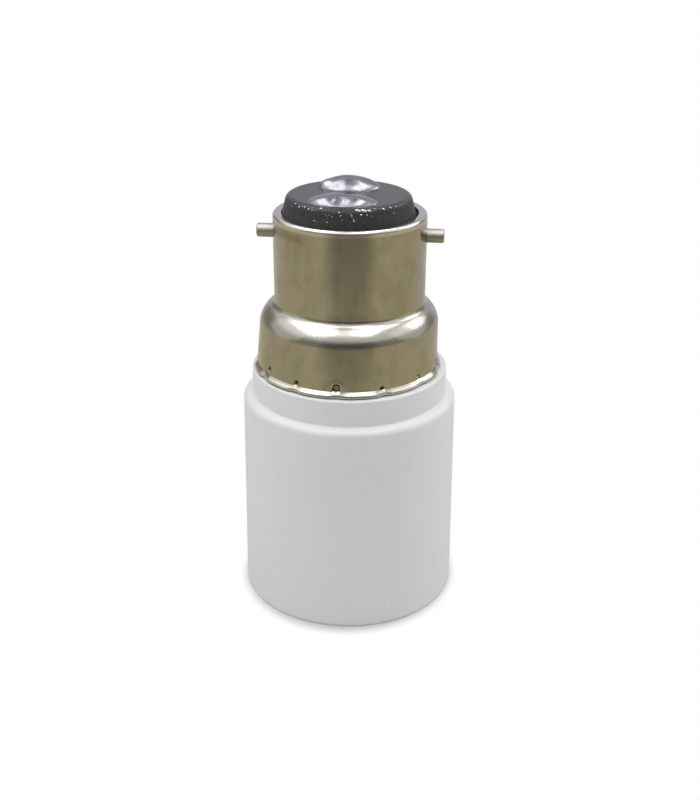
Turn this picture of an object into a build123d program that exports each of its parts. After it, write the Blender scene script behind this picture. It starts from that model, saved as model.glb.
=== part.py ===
from build123d import *
import os
from math import acos, cos, degrees, radians, sin, tan

os.makedirs("parts", exist_ok=True)

# Driving dimensions in millimetres. The mouth of the socket stands on Z = 0, the axis is Z,
# the bayonet pins lie along X and the two contacts lie along Y.

# White moulded body
mouth_radius = 16.4
shoulder_radius = 15.93
shoulder_height = 32.2
shoulder_round = 1.1
shoulder_step = 1.43
neck_length = 4.0
neck_chamfer = 0.3
mouth_edge_chamfer = 0.35
bore_chamfer = 0.5
floor_height = 29.0
floor_thickness = 3.0
spigot_headroom = 0.2
spigot_wall = 1.5

# Drawn cap shell
cap_wall = 0.4
cap_fit = 0.1
lip_flare = 0.6
skirt_inset = 1.0
skirt_length = 7.0
skirt_taper = 2.8
shoulder_bend = 3.3
barrel_foot_bend = 1.0
barrel_radius = 11.0
barrel_rise = 15.7
rim_bend = 0.5
rim_turn = 100
rim_lip = 0.66

# Crimp of the cap shell into the groove of the spigot
crimp_rise = 1.6
crimp_groove_width = 2.4
crimp_groove_depth = 0.45
punch_count = 13
punch_radius = 0.34
main_punch_radius = 0.68
punch_depth = 0.32
punch_slope = 0.45
punch_overcut = 0.15
punch_boss_wall = 0.2

# Bayonet pins
pin_radius = 1.0
pin_length = 2.45
pin_drop = 2.7
pin_end_chamfer = 0.22
tenon_radius = 0.7
pin_head_radius = 1.2
pin_head_height = 0.5
pin_head_gap = 0.12

# Cap insulator and its contact plates
insulator_fit = 0.1
insulator_seat_gap = 0.02
insulator_base_drop = 1.3
insulator_rise = 3.0
insulator_draft = 0.85
insulator_round = 0.6
contact_offset = 4.55
plate_half_length = 3.7
plate_half_width = 2.1
plate_thickness = 0.5
plate_fit = 0.05
wire_way_gap = 0.5

# Solder contacts, each a little off its plate
front_dome_shift = (-0.5, -0.25)
front_dome_half_length = 4.9
front_dome_half_width = 2.8
front_dome_height = 1.15
rear_dome_shift = (-0.58, -0.25)
rear_dome_half_length = 4.5
rear_dome_half_width = 3.0
rear_dome_height = 1.5

# Rolled Edison shell
thread_pitch = 3.629
thread_crest_radius = 12.25
thread_depth = 1.1
thread_flank = 62.5
shell_wall = 0.3
shell_band_relief = 0.08
shell_fit = 0.22
shell_inset = 6.5
mouth_band = 1.5
floor_band = 5.7
flange_width = 1.35
groove_overcut = 0.2

# Rivets, lug and solder tags
rivet_radius = 1.4
rivet_head_radius = 2.2
rivet_upset_radius = 1.8
rivet_head_height = 0.8
rivet_head_chamfer = 0.4
rivet_fit = 0.05
lug_margin = 0.5
tag_thickness = 0.4
tag_half_width = 2.1
tag_margin = 1.1
tag_gap = 1.05
tag_rise = 6.2
tag_bend = 0.8
tag_end_round = 1.2

# Centre contact strip
strip_half_width = 3.0
strip_thickness = 0.5
strip_margin = 0.6
strip_bend = 1.2
strip_end_round = 1.5
contact_reach = 0.2
contact_drop = 4.0
tip_reach = 2.4
tip_drop = 2.4

# Wiring
core_radius = 0.4
core_fit = 0.05
core_rise = 5.2
core_bend = 2.5
core_tail = 0.6
sleeve_wall = 0.5
sleeve_foot_gap = 1.0
sleeve_head_gap = 0.5
bead_radius = 1.1
bead_height = 0.7

# Heights and radii that follow from the driving dimensions
taper = radians(skirt_taper)
turn = radians(rim_turn)
neck_radius = shoulder_radius - shoulder_step
neck_top = shoulder_height + neck_length
floor_top = floor_height + floor_thickness
crimp_height = neck_top + crimp_rise
skirt_foot_radius = neck_radius - skirt_inset
skirt_foot_height = neck_top + cap_wall / 2 + lip_flare * (1 - sin(taper))
skirt_top_height = neck_top + skirt_length
spigot_top = skirt_top_height - spigot_headroom
barrel_bore = barrel_radius - cap_wall
barrel_middle = barrel_radius - cap_wall / 2
rim_height = skirt_top_height + barrel_rise
rim_middle_bend = rim_bend - cap_wall / 2
rim_edge_radius = barrel_middle - rim_middle_bend * (1 - cos(turn)) - rim_lip * sin(turn)
rim_mouth_radius = rim_edge_radius + cap_wall / 2 * cos(turn)
rim_underside = rim_height + (rim_middle_bend - cap_wall / 2) * sin(turn) + rim_lip * cos(turn)
pin_height = rim_height - pin_drop
insulator_base = rim_height - insulator_base_drop
insulator_seat = rim_underside - insulator_seat_gap
insulator_face = rim_height + insulator_rise
insulator_radius = rim_mouth_radius - insulator_fit
thread_root_radius = thread_crest_radius + thread_depth
band_radius = thread_root_radius + shell_band_relief
shell_radius = band_radius + shell_wall
bore_radius = shell_radius + shell_fit
mouth_bevel_limit = (mouth_radius - bore_radius) / 3
thread_start = shell_inset + mouth_band
thread_end = floor_height - floor_band
core_height = floor_top + core_rise
FROM_BASE = (Align.CENTER, Align.CENTER, Align.MIN)


def skirt_middle(height):
    """Radius of the middle of the skirt's sheet at a height."""
    return skirt_foot_radius - cap_wall / 2 - (height - skirt_foot_height) * tan(taper)


def skirt_outside(height):
    """Outer radius of the skirt at a height."""
    return skirt_middle(height) + cap_wall / 2 / cos(taper)


def spigot_radius(height):
    """Radius of the spigot, which follows the inside of the skirt."""
    return skirt_middle(height) - cap_wall / 2 / cos(taper) - cap_fit


# The solder tags stand close to the wall of the chamber inside the spigot, and the rivets stand before them
chamber_radius = spigot_radius(spigot_top) - spigot_wall
tag_face = chamber_radius - tag_gap
tag_reach = rivet_upset_radius + tag_margin
rivet_offset = tag_face - tag_reach


def export(piece, name):
    """Name one finished piece and write its file."""
    piece.label = name
    export_step(piece, f"parts/{name}.step")


def make_socket_body():
    """The one-piece moulding: skirt round the socket, floor, neck and spigot."""
    with BuildPart() as body:
        with BuildSketch(Plane.XZ):
            with BuildLine():
                Polyline(
                    (bore_radius, 0),
                    (mouth_radius, 0),
                    (shoulder_radius, shoulder_height),
                    (neck_radius, shoulder_height),
                    (neck_radius, neck_top),
                    (spigot_radius(neck_top), neck_top),
                    (spigot_radius(spigot_top), spigot_top),
                    (chamber_radius, spigot_top),
                    (chamber_radius, floor_top),
                    (0, floor_top),
                    (0, floor_height),
                    (bore_radius, floor_height),
                    close=True,
                )
            make_face()
        revolve(axis=Axis.Z)
        circles = body.edges().filter_by(GeomType.CIRCLE)
        mouth = circles.group_by(Axis.Z)[0].sort_by(SortBy.RADIUS)
        shoulder = circles.filter_by_position(Axis.Z, shoulder_height, shoulder_height).sort_by(SortBy.RADIUS)
        neck = circles.filter_by_position(Axis.Z, neck_top, neck_top).sort_by(SortBy.RADIUS)
        fillet(shoulder[-1], radius=shoulder_round)
        chamfer(neck[-1], length=neck_chamfer)
        chamfer(mouth[-1], length=min(mouth_edge_chamfer, mouth_bevel_limit))
        chamfer(mouth[0], length=min(bore_chamfer, mouth_bevel_limit))
        with BuildSketch(Plane.XZ):
            with Locations((spigot_radius(crimp_height), crimp_height)):
                Rectangle(2 * crimp_groove_depth, crimp_groove_width)
        revolve(axis=Axis.Z, mode=Mode.SUBTRACT)
        with Locations((0, rivet_offset, floor_top), (0, -rivet_offset, floor_top)):
            Hole(radius=rivet_radius + rivet_fit, depth=floor_thickness)
    export(body.part, "socket_body")


def punch_marks(count, mark_radius, top, bottom, wall, mode):
    """Round punch cones on the skirt, from the front one on, between two depths below its outer surface."""
    with Locations((0, 0, crimp_height)):
        with PolarLocations(skirt_outside(crimp_height) - top, count, start_angle=-90):
            Cone(
                mark_radius + wall - top * punch_slope,
                mark_radius + wall - bottom * punch_slope,
                bottom - top,
                rotation=(0, -90, 0),
                align=FROM_BASE,
                mode=mode,
            )


def make_cap_shell():
    """The drawn shell: turned-out lip, tapered skirt, shoulder, barrel and rolled rim, with its crimp marks."""
    bend = shoulder_bend - cap_wall / 2
    foot_bend = barrel_foot_bend + cap_wall / 2
    step = skirt_middle(skirt_top_height) - barrel_middle
    shoulder_end = degrees(acos((bend * cos(taper) + foot_bend - step) / (bend + foot_bend)))
    with BuildPart() as shell:
        with BuildSketch(Plane.XZ):
            with BuildLine():
                skirt = Line(
                    (skirt_middle(skirt_foot_height), skirt_foot_height),
                    (skirt_middle(skirt_top_height), skirt_top_height),
                )
                JernArc(skirt @ 0, (skirt % 0) * -1, lip_flare, 90 - skirt_taper)
                shoulder = JernArc(skirt @ 1, skirt % 1, bend, shoulder_end - skirt_taper)
                foot = JernArc(shoulder @ 1, shoulder % 1, foot_bend, -shoulder_end)
                barrel = Line(foot @ 1, (barrel_middle, rim_height))
                rim = JernArc(barrel @ 1, barrel % 1, rim_middle_bend, rim_turn)
                PolarLine(rim @ 1, rim_lip, direction=rim % 1)
            trace(line_width=cap_wall)
        revolve(axis=Axis.Z)
        boss_bottom = cap_wall + punch_depth
        punch_marks(punch_count, punch_radius, cap_wall / 2, boss_bottom, punch_boss_wall, Mode.ADD)
        punch_marks(1, main_punch_radius, cap_wall / 2, boss_bottom, punch_boss_wall, Mode.ADD)
        punch_marks(punch_count, punch_radius, -punch_overcut, punch_depth, 0, Mode.SUBTRACT)
        punch_marks(1, main_punch_radius, -punch_overcut, punch_depth, 0, Mode.SUBTRACT)
        with Locations((0, 0, pin_height)):
            Cylinder(tenon_radius, 2 * barrel_radius + cap_wall, rotation=(0, 90, 0), mode=Mode.SUBTRACT)
    export(shell.part, "bayonet_cap_shell")


def make_bayonet_pin(name, side):
    """A turned pin: shouldered on the outside of the barrel, with a tenon and a riveted head inside."""
    head_face = barrel_bore - pin_head_gap
    pin_tip = barrel_radius + pin_length
    with BuildPart() as pin:
        with BuildSketch(Plane.XZ):
            with BuildLine():
                Polyline(
                    (head_face - pin_head_height, pin_height),
                    (head_face - pin_head_height, pin_height + pin_head_radius),
                    (head_face, pin_height + pin_head_radius),
                    (head_face, pin_height + tenon_radius),
                    (barrel_radius, pin_height + tenon_radius),
                    (barrel_radius, pin_height + pin_radius),
                    (pin_tip, pin_height + pin_radius),
                    (pin_tip, pin_height),
                    close=True,
                )
            make_face()
        revolve(axis=Axis((0, 0, pin_height), (1, 0, 0)))
        chamfer(pin.edges().group_by(Axis.X)[-1], length=pin_end_chamfer)
        if side < 0:
            mirror(about=Plane.YZ, mode=Mode.REPLACE)
    export(pin.part, name)


def make_cap_insulator():
    """The black disc, with a flange under the rolled rim, a pocket for each contact plate and two wire ways."""
    flange_radius = barrel_bore - insulator_fit
    with BuildPart() as insulator:
        with BuildSketch(Plane.XZ):
            with BuildLine():
                Polyline(
                    (0, insulator_base),
                    (flange_radius, insulator_base),
                    (flange_radius, insulator_seat),
                    (insulator_radius, insulator_seat),
                    (insulator_radius - insulator_draft, insulator_face),
                    (0, insulator_face),
                    close=True,
                )
            make_face()
        revolve(axis=Axis.Z)
        fillet(insulator.edges().group_by(Axis.Z)[-1], radius=insulator_round)
        with BuildSketch(Plane.XY.offset(insulator_face)):
            with Locations((0, contact_offset), (0, -contact_offset)):
                Ellipse(plate_half_length + plate_fit, plate_half_width + plate_fit)
        extrude(amount=-plate_thickness, mode=Mode.SUBTRACT)
        with Locations((0, contact_offset, insulator_face), (0, -contact_offset, insulator_face)):
            Hole(radius=core_radius + wire_way_gap)
    export(insulator.part, "cap_insulator")


def make_contact_plate(name, side):
    """An oval brass plate let flush into the insulator, pierced for its wire."""
    with BuildPart() as plate:
        with BuildSketch(Plane.XY.offset(insulator_face)):
            with Locations((0, side * contact_offset)):
                Ellipse(plate_half_length, plate_half_width)
                Circle(core_radius + core_fit, mode=Mode.SUBTRACT)
        extrude(amount=-plate_thickness)
    export(plate.part, name)


def make_solder_dome(name, side, shift, half_length, half_width, height):
    """A low oval dome of solder: its cross section swung about an axis far below, cut flat at the insulator."""
    x = shift[0]
    y = side * contact_offset + shift[1]
    crown_radius = (half_length**2 + height**2) / (2 * height)
    with BuildPart() as dome:
        with BuildSketch(Plane((x, y, insulator_face), x_dir=(0, 1, 0), z_dir=(1, 0, 0))):
            with BuildLine():
                ThreePointArc((-half_width, 0), (0, height), (half_width, 0))
                Line((half_width, 0), (-half_width, 0))
            make_face()
        revolve(axis=Axis((x, y, insulator_face + height - crown_radius), (0, 1, 0)))
        split(bisect_by=Plane.XY.offset(insulator_face))
    export(dome.part, name)


def thread_groove(root_radius, open_radius, first_height):
    """A helical groove with straight flanks, narrowing from its open side to its root."""
    flank_run = thread_depth / tan(radians(thread_flank))
    bend_allowance = shell_wall * tan(radians(thread_flank / 2))
    half_root = (thread_pitch - 2 * flank_run - bend_allowance) / 4
    half_open = half_root + flank_run * (thread_depth + groove_overcut) / thread_depth
    way = 1 if open_radius > root_radius else -1
    path_radius = (root_radius + open_radius) / 2
    root = root_radius - path_radius
    far = open_radius + way * groove_overcut - path_radius
    reach = thread_end + thread_pitch / 2 - first_height
    with BuildPart() as groove:
        with BuildLine() as path:
            Helix(pitch=thread_pitch, height=reach, radius=path_radius, center=(0, 0, first_height))
        with BuildSketch(Plane(path.line @ 0, x_dir=(1, 0, 0), z_dir=path.line % 0)):
            with BuildLine():
                Polyline((root, -half_root), (root, half_root), (far, half_open), (far, -half_open), close=True)
            make_face()
        sweep(path=path.line, is_frenet=True)
    return groove.part


def make_screw_shell():
    """The Edison shell: one thin sheet rolled to a screw thread, with plain bands, a flange and a lug at the floor."""
    first_height = shell_inset - thread_pitch / 2
    inner_groove = thread_groove(thread_root_radius, thread_crest_radius, first_height)
    outer_groove = thread_groove(thread_crest_radius + shell_wall, thread_root_radius + shell_wall, shell_inset)
    lug_radius = rivet_head_radius + lug_margin
    with BuildPart() as outer_cut:
        add(outer_groove)
        with Locations((0, 0, thread_start + shell_wall)):
            Cylinder(mouth_radius, thread_end - thread_start - 2 * shell_wall, align=FROM_BASE, mode=Mode.INTERSECT)
    with BuildPart() as shell:
        with BuildSketch(Plane.XY.offset(shell_inset)):
            Circle(shell_radius)
            Circle(thread_crest_radius, mode=Mode.SUBTRACT)
        extrude(amount=floor_height - shell_inset)
        add(inner_groove, mode=Mode.SUBTRACT)
        with Locations((0, 0, shell_inset)):
            Cylinder(band_radius, mouth_band, align=FROM_BASE, mode=Mode.SUBTRACT)
        with Locations((0, 0, thread_end)):
            Cylinder(band_radius, floor_band, align=FROM_BASE, mode=Mode.SUBTRACT)
        add(outer_cut.part, mode=Mode.SUBTRACT)
        with BuildSketch(Plane.XY.offset(floor_height)):
            Circle(band_radius + shell_wall / 2)
            Circle(band_radius - flange_width, mode=Mode.SUBTRACT)
            with Locations((0, rivet_offset)):
                Circle(lug_radius)
                Rectangle(2 * lug_radius, band_radius - rivet_offset, align=(Align.CENTER, Align.MIN))
                Circle(rivet_radius + rivet_fit, mode=Mode.SUBTRACT)
        extrude(amount=-shell_wall)
    export(shell.part, "screw_shell")


def make_centre_contact():
    """The spring strip: a riveted foot, a sloping tongue and a turned-up tip, folded from one sheet."""
    foot_middle = floor_height - strip_thickness / 2
    foot_reach = rivet_head_radius + strip_margin
    with BuildPart() as contact:
        with BuildSketch(Plane.YZ):
            with BuildLine():
                FilletPolyline(
                    (-rivet_offset - foot_reach, foot_middle),
                    (-rivet_offset + foot_reach, foot_middle),
                    (contact_reach, floor_height - contact_drop),
                    (tip_reach, floor_height - tip_drop),
                    radius=strip_bend,
                )
            trace(line_width=strip_thickness)
        extrude(amount=strip_half_width, both=True)
        ends = contact.faces().sort_by(Axis.Y)
        for end in (ends[0], ends[-1]):
            fillet(end.edges().filter_by(Axis.X, reverse=True), radius=strip_end_round)
        with Locations((0, -rivet_offset, floor_height)):
            Hole(radius=rivet_radius + rivet_fit, depth=strip_thickness)
    export(contact.part, "centre_contact")


def make_rivet(name, side, under_side):
    """A rivet through the floor, with a bevelled head in the socket and an upset head on the solder tag."""
    tag_top = floor_top + tag_thickness
    with BuildPart() as rivet:
        with Locations((0, side * rivet_offset, under_side)):
            Cylinder(rivet_radius, tag_top - under_side, align=FROM_BASE)
        with Locations((0, side * rivet_offset, under_side - rivet_head_height)):
            Cylinder(rivet_head_radius, rivet_head_height, align=FROM_BASE)
        with Locations((0, side * rivet_offset, tag_top)):
            Cylinder(rivet_upset_radius, rivet_head_height, align=FROM_BASE)
        rims = rivet.edges().filter_by(GeomType.CIRCLE).group_by(Axis.Z)
        chamfer(rims[0] + rims[-1], length=rivet_head_chamfer)
    export(rivet.part, name)


def make_solder_tag(name, side):
    """A folded tag: a pierced foot under the rivet and an upright blade with a hole for the wire."""
    foot_middle = floor_top + tag_thickness / 2
    blade_middle = tag_face - tag_thickness / 2
    with BuildPart() as tag:
        with BuildSketch(Plane.YZ):
            with BuildLine():
                FilletPolyline(
                    (side * (rivet_offset - tag_reach), foot_middle),
                    (side * blade_middle, foot_middle),
                    (side * blade_middle, floor_top + tag_rise),
                    radius=tag_bend,
                )
            trace(line_width=tag_thickness)
        extrude(amount=tag_half_width, both=True)
        top_corners = tag.faces().sort_by(Axis.Z)[-1].edges().filter_by(Axis.Y)
        fillet(top_corners, radius=tag_end_round)
        with Locations((0, side * rivet_offset, floor_top + tag_thickness)):
            Hole(radius=rivet_radius + rivet_fit, depth=tag_thickness)
        with Locations((0, side * blade_middle, core_height)):
            Cylinder(core_radius + core_fit, 2 * tag_thickness, rotation=(90, 0, 0), mode=Mode.SUBTRACT)
    export(tag.part, name)


def make_lead(name, side):
    """A bare wire core: through the tag, round one bend and straight up to its contact plate."""
    with BuildPart() as lead:
        with BuildLine() as route:
            FilletPolyline(
                (0, side * (tag_face + core_tail), core_height),
                (0, side * contact_offset, core_height),
                (0, side * contact_offset, insulator_face),
                radius=core_bend,
            )
        with BuildSketch(Plane(route.line @ 0, z_dir=route.line % 0)):
            Circle(core_radius)
        sweep(path=route.line)
    export(lead.part, name)


def make_lead_sleeve(name, side):
    """The insulating sleeve on the straight run of a lead."""
    foot = core_height + core_bend + sleeve_foot_gap
    with BuildPart() as sleeve:
        with BuildSketch(Plane.XY.offset(foot)):
            with Locations((0, side * contact_offset)):
                Circle(core_radius + core_fit + sleeve_wall)
                Circle(core_radius + core_fit, mode=Mode.SUBTRACT)
        extrude(amount=insulator_base - sleeve_head_gap - foot)
    export(sleeve.part, name)


def make_tag_solder(name, side):
    """A ring of solder round the wire on the inner face of its tag."""
    inner_face = tag_face - tag_thickness
    with BuildPart() as bead:
        with BuildSketch(Plane.YZ):
            with BuildLine():
                Polyline(
                    (side * inner_face, core_height + core_radius),
                    (side * inner_face, core_height + bead_radius),
                    (side * (inner_face - bead_height), core_height + core_radius),
                    close=True,
                )
            make_face()
        revolve(axis=Axis((0, 0, core_height), (0, 1, 0)))
    export(bead.part, name)


make_socket_body()
make_cap_shell()
make_bayonet_pin("bayonet_pin_left", -1)
make_bayonet_pin("bayonet_pin_right", 1)
make_cap_insulator()
make_contact_plate("contact_plate_front", -1)
make_contact_plate("contact_plate_rear", 1)
make_solder_dome(
    "solder_dome_front",
    -1,
    front_dome_shift,
    front_dome_half_length,
    front_dome_half_width,
    front_dome_height,
)
make_solder_dome(
    "solder_dome_rear",
    1,
    rear_dome_shift,
    rear_dome_half_length,
    rear_dome_half_width,
    rear_dome_height,
)
make_screw_shell()
make_centre_contact()
make_rivet("centre_contact_rivet", -1, floor_height - strip_thickness)
make_rivet("screw_shell_rivet", 1, floor_height - shell_wall)
make_solder_tag("centre_solder_tag", -1)
make_solder_tag("shell_solder_tag", 1)
make_lead("live_lead", -1)
make_lead("neutral_lead", 1)
make_lead_sleeve("live_lead_sleeve", -1)
make_lead_sleeve("neutral_lead_sleeve", 1)
make_tag_solder("live_tag_solder", -1)
make_tag_solder("neutral_tag_solder", 1)
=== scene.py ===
import math
import random

import bpy
import numpy as np
from bpy.props import FloatProperty, FloatVectorProperty, IntProperty, PointerProperty
from mathutils import Matrix, Vector


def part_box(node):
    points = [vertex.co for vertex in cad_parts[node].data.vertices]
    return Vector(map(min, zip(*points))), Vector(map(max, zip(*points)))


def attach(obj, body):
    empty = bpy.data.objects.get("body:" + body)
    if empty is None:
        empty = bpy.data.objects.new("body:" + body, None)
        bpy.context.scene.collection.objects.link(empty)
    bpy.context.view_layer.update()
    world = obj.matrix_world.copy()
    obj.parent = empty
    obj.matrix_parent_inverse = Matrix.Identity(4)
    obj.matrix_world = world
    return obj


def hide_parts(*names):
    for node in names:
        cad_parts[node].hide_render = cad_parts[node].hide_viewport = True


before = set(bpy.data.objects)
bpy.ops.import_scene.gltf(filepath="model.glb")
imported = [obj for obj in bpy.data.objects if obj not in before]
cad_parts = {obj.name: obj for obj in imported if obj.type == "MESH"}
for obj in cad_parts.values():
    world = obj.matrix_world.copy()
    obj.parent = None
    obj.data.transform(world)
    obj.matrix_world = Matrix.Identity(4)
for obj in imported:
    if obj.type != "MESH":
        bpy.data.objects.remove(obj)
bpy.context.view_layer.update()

bl_info = {
    "name": "Lamp socket adapter",
    "version": (1, 0, 0),
    "blender": (4, 5, 0),
    "location": "3D View > Sidebar > Adapter",
    "description": "Models and finishes the pieces of a bayonet lamp socket adapter around its fixed frame",
    "category": "Object",
}

MM = 0.001
TINY = MM / 1000
ROUND_STEPS = 64
BODY = "root"

# Places that the frame gives
_, body_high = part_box("socket_body")
shell_low, shell_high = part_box("bayonet_cap_shell")
insulator_low, insulator_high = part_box("cap_insulator")
_, screw_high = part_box("screw_shell")
pin_low, pin_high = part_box("bayonet_pin_right")
plate_low, plate_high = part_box("contact_plate_rear")
rivet_low, rivet_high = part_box("screw_shell_rivet")


def place(name, description, metres):
    """A length in metres, such as one that the frame gives."""
    return FloatProperty(name=name, description=description, default=metres, unit="LENGTH", precision=5)


def size(name, description, millimetres):
    """A length that a user may change, given in millimetres and kept in metres."""
    return place(name, description, millimetres * MM)


def turn(name, description, degrees):
    """An angle that a user may change, given in degrees."""
    return FloatProperty(name=name, description=description, default=math.radians(degrees), subtype="ANGLE")


def share(name, description, value):
    """A plain number."""
    return FloatProperty(name=name, description=description, default=value)


def count(name, description, value):
    """A whole number."""
    return IntProperty(name=name, description=description, default=value, min=1)


def tint(name, description, colour):
    """A colour that a user may change."""
    return FloatVectorProperty(
        name=name, description=description, default=colour, subtype="COLOR", size=3, min=0, max=1
    )


class AdapterBodySizes(bpy.types.PropertyGroup):
    """Sizes of the white moulded body."""

    mouth_radius: place("Mouth radius", "Outer radius at the open mouth", body_high.x)
    mouth_round: size("Mouth round", "Round of the outer edge of the mouth", 0.12)
    bore_fit: size("Bore fit", "Gap between the bore and the screw shell", 0.22)
    bore_chamfer: size("Bore chamfer", "Bevel of the inner edge of the mouth", 0.5)
    shoulder_radius: size("Shoulder radius", "Outer radius below the shoulder", 15.93)
    shoulder_height: size("Shoulder height", "Height of the shoulder", 32.2)
    shoulder_round: size("Shoulder round", "Round of the shoulder", 1.1)
    neck_radius: size("Neck radius", "Radius of the neck", 14.5)
    neck_round: size("Neck round", "Round of the neck's edge and foot", 0.3)
    floor_thickness: size("Floor thickness", "Thickness of the floor of the socket", 3.0)
    spigot_foot_radius: size("Spigot foot radius", "Radius of the spigot at the neck", 13.04)
    spigot_head_radius: size("Spigot head radius", "Radius of the spigot at its top", 12.705)
    spigot_wall: size("Spigot wall", "Wall of the spigot", 1.5)
    rivet_hole_radius: size("Rivet hole radius", "Radius of the two holes in the floor", 1.45)
    nib_angle: turn("Nib angle", "Place of the moulding nib round the mouth, from the front", 26.5)
    nib_height: size("Nib height", "Height of the middle of the moulding nib", 2.3)
    nib_rise: size("Nib rise", "How far the moulding nib stands out", 0.1)
    steps: count("Steps", "Steps round the body", 256)


class AdapterCapSizes(bpy.types.PropertyGroup):
    """Sizes of the drawn cap shell, its crimp and its pins."""

    wall: size("Wall", "Thickness of the sheet", 0.4)
    lip_bend: size("Lip bend", "Middle radius where the lip is turned out", 0.26)
    lip_knee: size("Lip knee", "How high the lip's outer edge turns in", 0.17)
    lip_rise: size("Lip rise", "Height of the turned-out lip", 0.7)
    lip_gap: size("Lip gap", "Gap between the lip and the neck", 0.02)
    lip_shift: size("Lip shift", "How far the lip is pushed to the left", 0.3)
    skirt_radius: size("Skirt radius", "Outer radius at the foot of the skirt", 13.42)
    skirt_top: size("Skirt top", "Height where the shoulder begins", 43.2)
    taper: turn("Taper", "Lean of the skirt", 2.8)
    shoulder_bend: size("Shoulder bend", "Outer radius of the shoulder", 3.3)
    foot_bend: size("Foot bend", "Outer radius at the foot of the barrel", 1.0)
    barrel_radius: size("Barrel radius", "Outer radius of the barrel", 11.0)
    rim_bend: size("Rim bend", "Outer radius of the rolled rim", 0.5)
    rim_turn: turn("Rim turn", "How far the rim is rolled in", 93)
    rim_lip: size("Rim lip", "Straight end of the rolled rim", 0.74)
    edge_round: size("Edge round", "Round of the cut edges of the sheet", 0.09)
    punch_count: count("Punch marks", "Number of crimp marks round the skirt", 13)
    punch_height: size("Punch height", "Height of the crimp marks", 37.8)
    punch_radius: size("Punch radius", "Radius of a small crimp mark", 0.34)
    main_punch_radius: size("Main punch radius", "Radius of the round crimp mark at the front", 0.62)
    punch_depth: size("Punch depth", "Depth of the crimp marks", 0.3)
    steps: count("Steps", "Steps round the shell", 480)
    pin_radius: size("Pin radius", "Radius of a bayonet pin", 1.0)
    pin_end_round: size("Pin end round", "Round of a pin's tip", 0.24)
    tenon_radius: size("Tenon radius", "Radius of a pin's tenon in the wall", 0.7)
    tenon_length: size("Tenon length", "Length of a pin's tenon", 0.52)
    pin_head_radius: size("Pin head radius", "Radius of a pin's riveted head", 1.2)
    pin_head_height: size("Pin head height", "Thickness of a pin's riveted head", 0.5)


class AdapterContactSizes(bpy.types.PropertyGroup):
    """Sizes of the insulator and of the solder on it."""

    neck_radius: size("Insulator radius", "Radius of the insulator above the rim", 9.62)
    neck_draft: size("Draft", "How much the insulator narrows to its face", 0.8)
    seat_height: size("Seat height", "Height of the flange under the rolled rim", 58.83)
    face_round: size("Face round", "Round of the insulator's top edge", 0.8)
    lean_left: size("Lean left", "How far the insulator sits left of the axis in the rim", 0.17)
    ragged: size("Ragged edge", "Unevenness of the insulator's top edge", 0.05)
    plate_fit: size("Plate fit", "Gap round a contact plate", 0.05)
    wire_way_radius: size("Wire way radius", "Radius of a wire's way through the insulator", 0.9)
    steps: count("Steps", "Steps round the insulator", 288)
    dome_share: share("Dome share", "Share of the solder's oval that its foot takes", 0.93)
    dome_sunk: size("Dome sunk", "How far a solder dome reaches below its place", 0.2)
    speck_count: count("Specks", "Number of small solder specks on the insulator", 34)
    speck_radius: size("Speck radius", "Largest radius of a small solder speck", 0.1)


class AdapterColours(bpy.types.PropertyGroup):
    """Main colours of the finishes."""

    white: tint("White", "Moulded white of the body", (0.80, 0.806, 0.824))
    champagne: tint("Champagne", "Plating of the cap", (0.425, 0.40, 0.345))
    olive: tint("Olive", "Darker plating of the cap", (0.385, 0.372, 0.285))
    tarnish: tint("Tarnish", "Brown stain under the rim", (0.23, 0.16, 0.08))
    pin: tint("Pin", "Plating of the pins", (0.36, 0.345, 0.30))
    black: tint("Black", "Moulded black of the insulator", (0.034, 0.034, 0.036))
    solder: tint("Solder", "Bright solder", (0.25, 0.25, 0.28))
    brass: tint("Brass", "Contacts, rivets and tags", (0.72, 0.54, 0.25))
    aluminium: tint("Aluminium", "Screw shell", (0.70, 0.70, 0.69))
    copper: tint("Copper", "Wire", (0.78, 0.41, 0.25))
    sleeve: tint("Sleeve", "Woven sleeving", (0.74, 0.70, 0.60))


class AdapterStage(bpy.types.PropertyGroup):
    """Camera and light."""

    azimuth: turn("Azimuth", "Camera's turn round the adapter, from the front", 6.4)
    elevation: turn("Elevation", "Camera's height above the horizon", 24.4)
    roll: turn("Roll", "Camera's roll", 0.25)
    distance: size("Distance", "Camera's distance from its aim", 169.6)
    aim_height: size("Aim height", "Height that the camera looks at", 29.96)
    aim_right: size("Aim right", "How far right of the axis the camera looks", 0.11)
    lens: share("Lens", "Focal length in millimetres", 50.0)
    left_power: share("Left power", "Power of the lamp above the left in watts", 0.97)
    right_power: share("Right power", "Power of the lamp above the right in watts", 0.77)
    middle_power: share("Middle power", "Power of the lamp between the two in watts", 0.06)
    behind_power: share("Behind power", "Power of the panel behind the right in watts", 0.50)
    side_power: share("Side power", "Power of each side panel in watts", 0.29)
    ambient: share("Ambient", "Strength of the light from all round", 0.205)


# Modelling helpers


def enter(mode):
    """Go into edit mode or back to object mode."""
    bpy.ops.object.mode_set(mode=mode)


def start_piece():
    """Leave edit mode and let go of everything, so that the next operator acts on its own piece alone."""
    if bpy.context.object and bpy.context.object.mode != "OBJECT":
        enter("OBJECT")
    bpy.ops.object.select_all(action="DESELECT")


def begin(name):
    """Name the piece that was just added, and edit all of it."""
    piece = bpy.context.object
    piece.name = name
    enter("EDIT")
    bpy.ops.mesh.select_all(action="SELECT")
    return piece


def places_of(piece):
    """The places of a piece's vertices, one row each."""
    places = np.empty(len(piece.data.vertices) * 3)
    piece.data.vertices.foreach_get("co", places)
    return places.reshape(-1, 3)


def radii(places):
    """How far places lie from the axis."""
    return np.hypot(places[:, 0], places[:, 1])


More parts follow.
